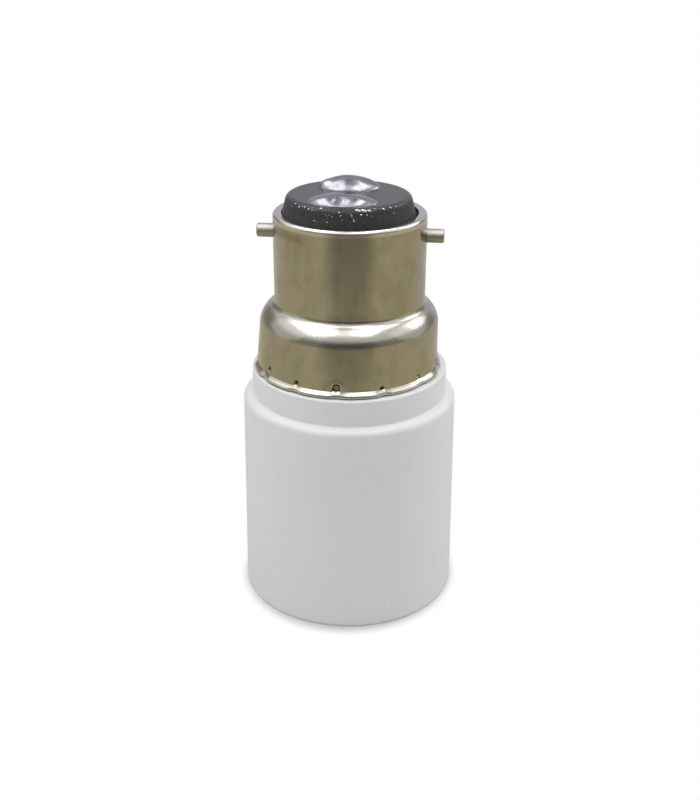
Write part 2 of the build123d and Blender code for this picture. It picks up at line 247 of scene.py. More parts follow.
def select(piece, test):
    """Select the vertices whose places pass a test, in edit mode."""
    enter("EDIT")
    bpy.ops.mesh.select_mode(type="VERT")
    bpy.ops.mesh.select_all(action="DESELECT")
    enter("OBJECT")
    chosen = test(places_of(piece))
    if not chosen.any():
        raise RuntimeError(f"nothing to select on {piece.name}")
    piece.data.vertices.foreach_set("select", chosen)
    enter("EDIT")
    bpy.ops.mesh.select_mode(type="VERT")


def near(centre, reach):
    """A test for places within a reach of a centre, which always takes the nearest one."""

    def test(places):
        gaps = np.linalg.norm(places - np.array(centre), axis=1)
        return gaps < max(reach, gaps.min() + TINY)

    return test


def around(radius, height, angle):
    """A place at a radius and height, turned from the front towards the right."""
    return Vector((radius * math.sin(angle), -radius * math.cos(angle), height))


def extrude(step):
    """Extrude what is selected by a step."""
    bpy.ops.mesh.extrude_region_move(TRANSFORM_OT_translate={"value": step})


def drag(push, reach, falloff="SMOOTH"):
    """Push what is selected, and the skin round it less and less over a reach."""
    bpy.ops.transform.translate(
        value=push,
        use_proportional_edit=True,
        proportional_edit_falloff=falloff,
        proportional_size=reach,
    )


def press(piece, centre, core, push, reach, falloff="SMOOTH"):
    """Push the skin within a core round a centre, fading out over a reach."""
    select(piece, near(centre, core))
    drag(push, reach, falloff)


def bevel_reach(radius, before, corner, after):
    """How far from a corner a round of that radius begins."""
    inward = (before - corner).normalized()
    outward = (after - corner).normalized()
    return radius / math.tan(inward.angle(outward) / 2)


def draw_section(name, corners):
    """A half section in the XZ plane, through corners (x, z) or (x, z, round, segments)."""
    start_piece()
    bpy.ops.mesh.primitive_plane_add(size=MM)
    piece = begin(name)
    bpy.ops.mesh.merge(type="CENTER")
    points = [Vector((corner[0], 0, corner[1])) for corner in corners]
    bpy.ops.transform.translate(value=points[0])
    for here, there in zip(points, points[1:]):
        extrude(there - here)
    for before, point, after, corner in zip(points, points[1:], points[2:], corners[1:]):
        if len(corner) == 4:
            select(piece, near(point, TINY))
            reach = bevel_reach(corner[2], before, point, after)
            bpy.ops.mesh.bevel(affect="VERTICES", offset=reach, segments=corner[3])
    return piece


def spin_section(steps):
    """Spin the half section that was just drawn round Z, into a skin with its faces outwards."""
    bpy.ops.mesh.select_all(action="SELECT")
    bpy.ops.mesh.spin(steps=steps, angle=2 * math.pi, center=(0, 0, 0), axis=(0, 0, 1))
    bpy.ops.mesh.select_all(action="SELECT")
    bpy.ops.mesh.remove_doubles(threshold=TINY)
    bpy.ops.mesh.normals_make_consistent(inside=False)
    enter("OBJECT")


def apply_modifier(piece, kind, **settings):
    """Add a modifier with its settings and apply it."""
    bpy.context.view_layer.objects.active = piece
    modifier = piece.modifiers.new(kind.title(), kind)
    for key, value in settings.items():
        setattr(modifier, key, value)
    bpy.ops.object.modifier_apply(modifier=modifier.name)


def cut_round(piece, y, half_x, half_y, low, high):
    """Cut an upright round or oval hole through a piece, at x = 0 and between two heights."""
    start_piece()
    bpy.ops.mesh.primitive_cylinder_add(vertices=ROUND_STEPS, radius=1, depth=1)
    cutter = begin("cutter")
    bpy.ops.transform.resize(value=(half_x, half_y, high - low))
    bpy.ops.transform.translate(value=(0, y, (low + high) / 2))
    start_piece()
    piece.select_set(True)
    apply_modifier(piece, "BOOLEAN", object=cutter, operation="DIFFERENCE", solver="EXACT")
    bpy.data.objects.remove(cutter)


def finish_piece(piece, finish, slot, *nodes, smooth=35):
    """Shade a piece, give it its finish, let it ride, and let it stand for its nodes."""
    start_piece()
    piece.select_set(True)
    bpy.context.view_layer.objects.active = piece
    bpy.ops.object.shade_smooth_by_angle(angle=math.radians(smooth))
    piece.data.materials.clear()
    piece.data.materials.append(finish)
    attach(piece, BODY)
    if nodes:
        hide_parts(*nodes)
    piece.select_set(False)


# Finishes


class Signal:
    """One output of a node, on which arithmetic adds Math nodes."""

    def __init__(self, finish, socket):
        self.finish = finish
        self.socket = socket

    def math(self, operation, first, second):
        return self.finish.add("ShaderNodeMath", {0: first, 1: second}, operation=operation)

    def __add__(self, other):
        return self.math("ADD", self, other)

    __radd__ = __add__

    def __sub__(self, other):
        return self.math("SUBTRACT", self, other)

    def __rsub__(self, other):
        return self.math("SUBTRACT", other, self)

    def __mul__(self, other):
        return self.math("MULTIPLY", self, other)

    __rmul__ = __mul__


class Finish:
    """A material or world under construction, with coordinates in millimetres."""

    def __init__(self, name, owner=None):
        self.owner = owner or bpy.data.materials.new(name)
        self.owner.use_nodes = True
        self.tree = self.owner.node_tree
        self.tree.nodes.clear()
        self.colours = bpy.context.scene.adapter_colours

    def add(self, kind, sockets=None, output=0, **settings):
        """Add a node with its settings, feed its sockets, and give one of its outputs."""
        node = self.tree.nodes.new(kind)
        for key, value in settings.items():
            setattr(node, key, value)
        for key, value in (sockets or {}).items():
            self.feed(node.inputs[key], value)
        return Signal(self, node.outputs[output]) if len(node.outputs) else node

    def feed(self, socket, value):
        """Link a signal to a socket, or set the socket's own value."""
        if isinstance(value, Signal):
            self.tree.links.new(value.socket, socket)
        elif hasattr(value, "__len__") and len(value) == 3 and socket.type == "RGBA":
            socket.default_value = (*value, 1)
        else:
            socket.default_value = value

    def place(self, stretch=(1, 1, 1), shift=(0, 0, 0)):
        """Object coordinates in millimetres, stretched and shifted."""
        here = self.add("ShaderNodeTexCoord", output="Object")
        scale = tuple(number / MM for number in stretch)
        return self.add("ShaderNodeVectorMath", {0: here, 1: scale, 2: shift}, operation="MULTIPLY_ADD")

    def along(self, axis):
        """One coordinate in millimetres."""
        return self.add("ShaderNodeSeparateXYZ", {0: self.place()}, axis)

    def noise(self, scale, detail, stretch=(1, 1, 1), shift=(0, 0, 0)):
        """Soft noise from 0 to 1, with so many waves to the millimetre."""
        sockets = {"Vector": self.place(stretch, shift), "Scale": scale, "Detail": detail}
        return self.add("ShaderNodeTexNoise", sockets)

    def cells(self, scale):
        """Distance to the nearest cell point, with so many cells to the millimetre."""
        return self.add("ShaderNodeTexVoronoi", {"Vector": self.place(), "Scale": scale})

    def rise(self, signal, low, high):
        """A smooth step from 0 at low to 1 at high."""
        sockets = {"Value": signal, "From Min": low, "From Max": high}
        return self.add("ShaderNodeMapRange", sockets, interpolation_type="SMOOTHSTEP")

    def band(self, signal, low, high, soft):
        """1 between two values, with soft ends."""
        return self.rise(signal, low - soft, low + soft) - self.rise(signal, high - soft, high + soft)

    def blend(self, factor, first, second):
        """A colour mixed from two."""
        return self.add("ShaderNodeMix", {0: factor, 6: first, 7: second}, 2, data_type="RGBA")

    def layers(self, base, *coats):
        """A base colour under coats, each given as how much of it shows and its colour."""
        for factor, colour in coats:
            base = self.blend(factor, base, colour)
        return base

    def skin(self, *heights):
        """A normal bumped by heights, each with the depth of its full step in millimetres."""
        normal = None
        for height, depth in heights:
            sockets = {"Height": height, "Distance": depth * MM}
            if normal:
                sockets["Normal"] = normal
            normal = self.add("ShaderNodeBump", sockets)
        return normal

    def surface(self, **sockets):
        """Close the material with a Principled shader. Underscores stand for the spaces of socket names."""
        named = {key.replace("_", " "): value for key, value in sockets.items()}
        return self.close(self.add("ShaderNodeBsdfPrincipled", named))

    def mix(self, factor, first, second):
        """A shader mixed from two."""
        return self.add("ShaderNodeMixShader", {0: factor, 1: first, 2: second})

    def close(self, shader, output="ShaderNodeOutputMaterial"):
        """Lead a shader to the output, and give what it finishes."""
        self.add(output, {"Surface": shader})
        return self.owner


def shade(colour, brightness):
    """A colour made darker or brighter."""
    return tuple(brightness * part for part in colour)


def white_plastic():
    """Moulded white: faint clouds, smudges, dust specks, a low sheen, a fine skin and a painted contact
    shadow along the foot.
    """
    finish = Finish("white_plastic")
    white = finish.colours.white
    cloud = finish.noise(0.16, 3)
    smudge = finish.rise(finish.noise(0.3, 2, shift=(9, 2, 5)), 0.6, 0.78)
    dust = finish.rise(finish.noise(1.7, 1, shift=(3, 7, 1)), 0.75, 0.775)
    # Painted contact shadow: the colour darkens along the bottom edge of the mouth, where the body meets
    # the floor.
    foot = 1 - finish.rise(finish.along("Z"), 0.15, 0.42)
    base = finish.layers(
        finish.blend(cloud, white, shade(white, 0.965)),
        (smudge * 0.35, (0.74, 0.735, 0.70)),
        (dust * 0.22, (0.45, 0.44, 0.42)),
        (foot * 0.6, shade(white, 0.6)),
    )
    skin = finish.skin((finish.noise(5, 3), 0.006), (finish.noise(0.22, 1), 0.05))
    return finish.surface(Base_Color=base, Roughness=0.36 + 0.12 * cloud, Normal=skin, IOR=1.49)


def cap_plating():
    """Worn plating on drawn sheet: mottling, streaks, a stain under the rim, pits, a painted shadow line
    along the bottom of the lip, and grime with painted shade in the crimp marks.
    """
    finish = Finish("cap_plating")
    colours = finish.colours
    height = finish.along("Z")
    lip = shell_low.z / MM
    rim = shell_high.z / MM
    bend = bpy.context.scene.adapter_cap.skirt_top / MM
    cloud = finish.rise(finish.noise(0.28, 3), 0.35, 0.65)
    streak = finish.noise(1.0, 3, stretch=(2.6, 2.6, 0.12))
    rosy = finish.rise(finish.noise(0.4, 2, shift=(5, 1, 8)), 0.5, 0.72)
    mottle = finish.noise(0.5, 4, stretch=(1.2, 1.2, 0.75), shift=(3, 8, 1))
    shoulder = finish.band(height, bend + 0.4, bend + 3.4, 0.7)
    polished_rim = finish.rise(height, rim - 1.05, rim - 0.75)
    patches = finish.rise(finish.noise(0.22, 3, shift=(2, 0, 4)), 0.4, 0.68)
    left = 1 - finish.rise(finish.along("X"), -4, 5)
    stain = finish.band(height, rim - 2.4, rim - 1.2, 0.5) * patches * left
    bead = 1 - finish.rise(height, lip + 0.7, lip + 0.9)
    # Painted shadow: a dark line along the bottom edge of the lip, where it meets the white body.
    painted_lip_shadow = 1 - finish.rise(height, lip + 0.12, lip + 0.28)
    pits = finish.rise(finish.noise(1.3, 1, shift=(1, 6, 3)), 0.785, 0.81)
    # Painted shade with some grime: the deeper a spot of a crimp mark, the darker its colour, lighter again
    # on the deepest floor of the main mark.
    recess = finish.add("ShaderNodeAttribute", output="Fac", attribute_name="recess")
    grime_and_painted_shade = finish.rise(recess, 0.18, 0.45) * (1 - 0.55 * finish.rise(recess, 0.76, 0.84))
    base = finish.layers(
        finish.blend(cloud, colours.champagne, colours.olive),
        (rosy * 0.6, (0.435, 0.365, 0.33)),
        (finish.rise(mottle, 0.46, 0.7) * 0.45, (0.315, 0.278, 0.205)),
        (finish.rise(streak, 0.52, 0.7) * 0.15, (0.50, 0.475, 0.42)),
        (shoulder * 0.6, (0.405, 0.40, 0.385)),
        (polished_rim * 0.8, (0.6, 0.585, 0.555)),
        (stain * 0.6, colours.tarnish),
        (bead * 0.8, (0.64, 0.63, 0.60)),
        (painted_lip_shadow * 0.85, (0.06, 0.055, 0.045)),
        (pits * (0.45 - 0.45 * shoulder), (0.10, 0.085, 0.06)),
        (grime_and_painted_shade * 0.92, (0.03, 0.026, 0.02)),
    )
    rough = 0.13 + 0.05 * cloud + 0.05 * streak + 0.1 * stain + 0.2 * pits
    grain = finish.noise(4.5, 3) * (0.2 + 0.8 * shoulder)
    skin = finish.skin((grain, 0.02), (streak, 0.008))
    return finish.surface(Base_Color=base, Metallic=1.0, Roughness=rough, Normal=skin)


def pin_plating():
    """Plated pins with the rings that turning leaves."""
    finish = Finish("pin_plating")
    rings = finish.noise(1.0, 2, stretch=(6, 0.3, 0.3))
    worn = finish.rise(finish.noise(5, 2), 0.55, 0.75)
    base = finish.layers(finish.colours.pin, (worn, (0.29, 0.275, 0.23)))
    skin = finish.skin((rings, 0.02))
    return finish.surface(Base_Color=base, Metallic=1.0, Roughness=0.36 + 0.15 * rings, Normal=skin)


def black_moulding():
    """Scuffed black, glossier on its face, with pale flecks at the top edge."""
    finish = Finish("black_moulding")
    height = finish.along("Z")
    top = insulator_high.z / MM
    face = finish.rise(height, top - 0.6, top - 0.15)
    edge = finish.band(height, top - 0.9, top - 0.25, 0.2)
    scuff = finish.noise(2.4, 3)
    flecks = finish.rise(finish.noise(3.2, 2, shift=(4, 4, 0)), 0.66, 0.72) * edge
    base = finish.layers(
        finish.colours.black,
        (finish.rise(scuff, 0.4, 0.75), (0.046, 0.046, 0.049)),
        (flecks * 0.5, (0.42, 0.41, 0.43)),
    )
    rough = 0.45 - 0.26 * face + 0.15 * scuff + 0.2 * flecks
    skin = finish.skin((finish.noise(6, 2), 0.005), (scuff, 0.02))
    return finish.surface(Base_Color=base, Roughness=rough, Normal=skin, IOR=1.33)


def bright_solder(name, brightness):
    """Solder that set bright, with a slow ripple and a faint grain."""
    finish = Finish(name)
    bright = shade(finish.colours.solder, brightness)
    dull = finish.rise(finish.noise(1.1, 2, shift=(7, 3, 2)), 0.5, 0.75)
    base = finish.blend(dull, bright, shade(bright, 0.75))
    skin = finish.skin((finish.noise(0.5, 0), 0.03), (finish.noise(3.5, 3), 0.0015))
    return finish.surface(Base_Color=base, Metallic=1.0, Roughness=0.2 + 0.1 * dull, Normal=skin)


def strip_metal(name, colour, dark, stretch):
    """Bare metal with the lines of rolling or drawing and a little tarnish."""
    finish = Finish(name)
    lines = finish.noise(1.0, 3, stretch=stretch)
    cloud = finish.rise(finish.noise(0.5, 3), 0.4, 0.7)
    base = finish.blend(cloud * 0.6, colour, dark)
    skin = finish.skin((lines, 0.012))
    return finish.surface(Base_Color=base, Metallic=1.0, Roughness=0.24 + 0.16 * lines, Normal=skin)


def woven_sleeve():
    """Woven sleeving: small raised cells in a pale cloth."""
    finish = Finish("woven_sleeve")
    cloth = finish.colours.sleeve
    threads = finish.cells(4.5)
    base = finish.blend(finish.rise(threads, 0.1, 0.5), cloth, shade(cloth, 0.6))
    skin = finish.skin((1 - threads, 0.08))
    return finish.surface(Base_Color=base, Roughness=0.7 + 0.15 * threads, Normal=skin)


# Operators


class ADAPTER_OT_body(bpy.types.Operator):
    """Model the white moulded body: skirt, shoulder, neck, spigot and the floor of the socket"""

    bl_idname = "adapter.body"
    bl_label = "White body"

    def execute(self, context):
        sizes = context.scene.adapter_body
        bore = screw_high.x + sizes.bore_fit
        floor = screw_high.z
        floor_top = floor + sizes.floor_thickness
        neck_top = shell_low.z
        chamber = sizes.spigot_head_radius - sizes.spigot_wall
        nib_rows = np.linspace(0.6, 4.8, 12) * MM
        lean = (sizes.mouth_radius - sizes.shoulder_radius) / sizes.shoulder_height
        body = draw_section(
            "white_body",
            [
                (0, floor),
                (bore, floor),
                (bore, sizes.bore_chamfer),
                (bore + sizes.bore_chamfer, 0),
                (sizes.mouth_radius, 0, sizes.mouth_round, 5),
                *[(sizes.mouth_radius - lean * row, row) for row in nib_rows],
                (sizes.shoulder_radius, sizes.shoulder_height, sizes.shoulder_round, 9),
                (sizes.neck_radius, sizes.shoulder_height, sizes.neck_round, 5),
                (sizes.neck_radius, neck_top, sizes.neck_round, 5),
                (sizes.spigot_foot_radius, neck_top),
                (sizes.spigot_head_radius, body_high.z),
                (chamber, body_high.z),
                (chamber, floor_top),
                (0, floor_top),
            ],
        )
        spin_section(sizes.steps)
        rivet_y = (rivet_low.y + rivet_high.y) / 2
        hole = sizes.rivet_hole_radius
        for side in (1, -1):
            cut_round(body, side * rivet_y, hole, hole, floor - MM, floor_top + MM)
        self.raise_nib(body, sizes)
        finish_piece(body, white_plastic(), "white_body", "socket_body", smooth=40)
        return {"FINISHED"}

    def raise_nib(self, body, sizes):
        """Split the wall finely near the mouth and raise the narrow moulding nib there."""
        middle = around(sizes.mouth_radius, sizes.nib_height, sizes.nib_angle)
        around_nib = near(middle, 1.6 * sizes.nib_height)
        inside = sizes.mouth_radius - MM
        select(body, lambda p: around_nib(p) & (radii(p) > inside))
        bpy.ops.mesh.subdivide(number_cuts=3)
        push = around(sizes.nib_rise, 0, sizes.nib_angle)
        core = 0.14 * MM
        fade = 0.55 * MM
        for rung in np.linspace(-0.6, 0.6, 5):
            spot = around(sizes.mouth_radius, sizes.nib_height * (1 + rung), sizes.nib_angle)
            press(body, spot, core, push, fade)


class ADAPTER_OT_cap_shell(bpy.types.Operator):
    """Model the drawn cap shell with its uneven lip, crimp marks and rolled rim"""

    bl_idname = "adapter.cap_shell"
    bl_label = "Cap shell"

    def execute(self, context):
        sizes = context.scene.adapter_cap
        shell = draw_section("cap_shell", self.middle_line(sizes))
        spin_section(sizes.steps)
        apply_modifier(shell, "SOLIDIFY", thickness=sizes.wall, offset=0, use_even_offset=True)
        apply_modifier(
            shell,
            "BEVEL",
            width=sizes.edge_round,
            segments=3,
            limit_method="ANGLE",
            angle_limit=math.radians(60),
        )
        self.crimp(shell, sizes)
        self.mark_recesses(shell, sizes)
        self.wave_lip(shell, sizes)
        finish_piece(shell, cap_plating(), "cap_metal", "bayonet_cap_shell", smooth=50)
        return {"FINISHED"}

    def middle_line(self, sizes):
        """The corners of the middle of the sheet, from the tip of the lip to the end of the rolled rim."""
        half = sizes.wall / 2
        lip_height = shell_low.z + half + sizes.lip_gap
        foot = lip_height + sizes.lip_rise
        overhang = 0.02 * MM
        edge = shell_high.x - half + overhang

        def skirt(height):
            """The middle of the leaning skirt at a height."""
            return (sizes.skirt_radius - half - (height - foot) * math.tan(sizes.taper), height)

        bend = sizes.shoulder_bend - half
        foot_bend = sizes.foot_bend + half
        barrel = sizes.barrel_radius - half
        inset = skirt(sizes.skirt_top)[0] - barrel
        lean = math.acos((bend * math.cos(sizes.taper) + foot_bend - inset) / (bend + foot_bend))
        bend_reach = bend * math.tan((lean - sizes.taper) / 2)
        slope = bend_reach + foot_bend * math.tan(lean / 2)
        shoulder = skirt(sizes.skirt_top + bend_reach * math.cos(sizes.taper))
        neck = (barrel, shoulder[1] + slope * math.cos(lean))
        roll = sizes.rim_bend - half
        roll_reach = roll * math.tan(sizes.rim_turn / 2)
        rim = (barrel, shell_high.z - sizes.rim_bend + roll_reach)
        end = roll_reach + sizes.rim_lip
        punched_rows = np.linspace(foot + 0.2 * MM, foot + 2.5 * MM, 21)
        plain_rows = np.linspace(foot + 3.2 * MM, sizes.skirt_top - 0.3 * MM, 5)
        barrel_rows = np.linspace(neck[1] + 2 * MM, rim[1] - 2 * roll_reach, 5)
        eased = 0.985
        return [
            (edge, lip_height - 0.6 * half),
            (edge, lip_height + sizes.lip_knee, sizes.lip_bend, 6),
            (*skirt(foot), sizes.lip_bend, 6),
            *[skirt(height) for height in (*punched_rows, *plain_rows)],
            (*shoulder, bend * eased, 14),
            (*neck, foot_bend * eased, 7),
            *[(barrel, height) for height in barrel_rows],
            (*rim, roll, 14),
            (rim[0] - end * math.sin(sizes.rim_turn), rim[1] + end * math.cos(sizes.rim_turn)),
        ]

    def crimp(self, shell, sizes):
        """Punch the marks into the skirt: a round flat one at the front and small nicks round the rest."""
        outside = sizes.skirt_radius - (sizes.punch_height - shell_low.z) * math.tan(sizes.taper)
        skin = outside - sizes.wall / 2
        small = sizes.punch_radius
        draw = random.Random(11)
        # Marks of the front, each with its angle in degrees and its rise in millimetres
        seen = {0: (-0.3, -0.12), 1: (27.9, -0.37), 2: (55.8, -0.18), 11: (-50.5, 0.42), 12: (-26.1, -0.05)}
        for mark in range(sizes.punch_count):
            guess = (mark * 360 / sizes.punch_count + draw.uniform(-1, 1), draw.uniform(-0.15, 0.25))
            degrees, rise = seen.get(mark, guess)
            angle = math.radians(degrees)
            spot = around(outside, sizes.punch_height + rise * MM, angle)
            around_mark = near(spot, 3.2 * small)
            select(shell, lambda p: around_mark(p) & (radii(p) > skin))
            bpy.ops.mesh.subdivide(number_cuts=1)
            swell = around(0.05 * MM, 0, angle)
            press(shell, spot, 0.3 * MM, swell, 1.3 * MM)
            inward = around(-sizes.punch_depth, 0, angle)
            if mark == 0:
                press(shell, spot, sizes.main_punch_radius - 0.22 * MM, inward, 0.38 * MM, "LINEAR")
                continue
            tail = spot + Vector((0, 0, -0.3 * MM))
            press(shell, spot, 0.4 * small, 0.6 * inward, 1.1 * small, "SPHERE")
            press(shell, tail, 0.3 * small, 0.25 * inward, 1.2 * small, "SPHERE")

    def mark_recesses(self, shell, sizes):
        """Keep how deep each spot of the skirt was punched, for the grime and painted shade in the marks.
        """
        enter("OBJECT")
        places = places_of(shell)
        foot = shell_low.z + sizes.wall / 2 + sizes.lip_gap + sizes.lip_rise
        skirt = sizes.skirt_radius - (places[:, 2] - foot) * math.tan(sizes.taper)
        depth = (skirt - radii(places)) / sizes.punch_depth
        near_marks = np.abs(places[:, 2] - sizes.punch_height) < 2.5 * sizes.punch_radius
        recess = shell.data.attributes.new("recess", "FLOAT", "POINT")
        recess.data.foreach_set("value", np.clip(depth, 0, 1) * near_marks)

    def wave_lip(self, shell, sizes):
        """Shift the lip left, wave it slowly, and bend it in at each crimp mark and out between them."""
        draw = random.Random(4)
        lip = shell_low.z + sizes.wall / 2

        def bend(angle, core, out, rise, reach):
            """Push the lip at an angle, with lengths in millimetres."""
            push = around(out * MM, rise * MM, angle)
            press(shell, around(shell_high.x, lip, angle), core * MM, push, reach * MM)

        select(shell, lambda p: p[:, 2] < shell_low.z + sizes.wall)
        drag((-sizes.lip_shift, 0, 0), 10 * MM)
        for angle, out, reach in ((-1.5, -0.2, 2.5), (0.2, 0.08, 6), (1.3, -0.02, 6), (2.6, -0.1, 6)):
            bend(angle, 0.5, out, 0, reach)
        pitch = 2 * math.pi / sizes.punch_count
        for mark in range(sizes.punch_count):
            angle = mark * pitch
            bend(angle, 0.4, -draw.uniform(0.14, 0.24), draw.uniform(0.04, 0.12), draw.uniform(0.9, 1.3))
            angle += pitch * draw.uniform(0.35, 0.65)
            bend(angle, 0.5, draw.uniform(-0.03, 0.14), draw.uniform(-0.02, 0.05), draw.uniform(1.5, 2.6))


class ADAPTER_OT_pins(bpy.types.Operator):
    """Model a bayonet pin with its tenon and riveted head, and copy it to the other side"""

    bl_idname = "adapter.pins"
    bl_label = "Bayonet pins"

    def execute(self, context):
        sizes = context.scene.adapter_cap
        tip = pin_high.x
        barrel = sizes.barrel_radius
        length = tip - barrel
        height = (pin_low.z + pin_high.z) / 2
        start_piece()
        bpy.ops.mesh.primitive_cylinder_add(vertices=ROUND_STEPS, radius=sizes.pin_radius, depth=length)
        pin = begin("bayonet_pin_right_turned")
        bpy.ops.transform.rotate(value=math.pi / 2, orient_axis="Y", center_override=(0, 0, 0))
        bpy.ops.transform.translate(value=((tip + barrel) / 2, 0, height))
        select(pin, lambda p: p[:, 0] > tip - 10 * TINY)
        bpy.ops.mesh.bevel(affect="EDGES", offset=sizes.pin_end_round, segments=5)
        select(pin, lambda p: p[:, 0] < barrel + 10 * TINY)
        bpy.ops.mesh.inset(thickness=sizes.pin_radius - sizes.tenon_radius)
        extrude((-sizes.tenon_length, 0, 0))
        extrude((0, 0, 0))
        spread = sizes.pin_head_radius / sizes.tenon_radius
        centre = (barrel - sizes.tenon_length, 0, height)
        bpy.ops.transform.resize(value=(1, spread, spread), center_override=centre)
        extrude((-sizes.pin_head_height, 0, 0))
        bpy.ops.mesh.select_all(action="SELECT")
        bpy.ops.mesh.normals_make_consistent(inside=False)
        enter("OBJECT")
        bpy.ops.object.duplicate()
        left = begin("bayonet_pin_left_turned")
        bpy.ops.transform.rotate(value=math.pi, orient_axis="Z", center_override=(0, 0, 0))
        finish = pin_plating()
        finish_piece(pin, finish, "pin_metal", "bayonet_pin_right")
        finish_piece(left, finish, "pin_metal", "bayonet_pin_left")
        return {"FINISHED"}


def insulator_side(sizes, height):
    """Radius of the insulator's leaning side at a height."""
    part = (height - sizes.seat_height) / (insulator_high.z - sizes.seat_height)
    return sizes.neck_radius - sizes.neck_draft * part


class ADAPTER_OT_insulator(bpy.types.Operator):
    """Model the black insulator with its ragged top edge and the pockets of the contact plates"""

    bl_idname = "adapter.insulator"
    bl_label = "Cap insulator"

    def execute(self, context):
        sizes = context.scene.adapter_contacts
        base, face = insulator_low.z, insulator_high.z
        flange = insulator_high.x
        side_rows = np.linspace(sizes.seat_height + 0.25 * MM, face - 1.1 * MM, 8)
        face_rings = np.linspace(sizes.neck_radius - 1.6 * MM, 1.5 * MM, 8)
        insulator = draw_section(
            "cap_insulator_moulding",
            [
                (0, base),
                (flange, base),
                (flange, sizes.seat_height),
                (sizes.neck_radius, sizes.seat_height),
                *[(insulator_side(sizes, height), height) for height in side_rows],
                (sizes.neck_radius - sizes.neck_draft, face, sizes.face_round, 12),
                *[(radius, face) for radius in face_rings],
                (0, face),
            ],
        )
        spin_section(sizes.steps)
        self.roughen(insulator, sizes)
        select(insulator, lambda p: p[:, 2] > sizes.seat_height + 0.1 * MM)
        bpy.ops.transform.translate(value=(-sizes.lean_left, 0, 0))
        half_x = (plate_high.x - plate_low.x) / 2 + sizes.plate_fit
        half_y = (plate_high.y - plate_low.y) / 2 + sizes.plate_fit
        plate_y = (plate_low.y + plate_high.y) / 2
        way = sizes.wire_way_radius
        for y in (plate_y, -plate_y):
            cut_round(insulator, y, half_x, half_y, plate_low.z, face + MM)
            cut_round(insulator, y, way, way, base - MM, plate_low.z + 0.1 * MM)
        finish_piece(insulator, black_moulding(), "black_insulator", "cap_insulator", smooth=45)
        return {"FINISHED"}

    def roughen(self, insulator, sizes):
        """Make the top edge ragged, more so at the front."""
        rim = sizes.neck_radius - 1.4 * MM
        top = insulator_high.z - 1.3 * MM
        clouds = bpy.data.textures.new("ragged_edge", "CLOUDS")
        clouds.noise_scale = 0.42 * MM
        clouds.noise_depth = 2
        for name, limit, strength in (("edge", sizes.neck_radius, 0.45), ("front_edge", -3 * MM, 1.0)):
            select(insulator, lambda p: (radii(p) > rim) & (p[:, 2] > top) & (p[:, 1] < limit))
            bpy.ops.object.vertex_group_add()
            insulator.vertex_groups.active.name = name
            bpy.ops.object.vertex_group_assign()
            enter("OBJECT")
            apply_modifier(
                insulator,
                "DISPLACE",
                texture=clouds,
                texture_coords="LOCAL",
                strength=strength * sizes.ragged,
                mid_level=0.5,
                vertex_group=name,
            )


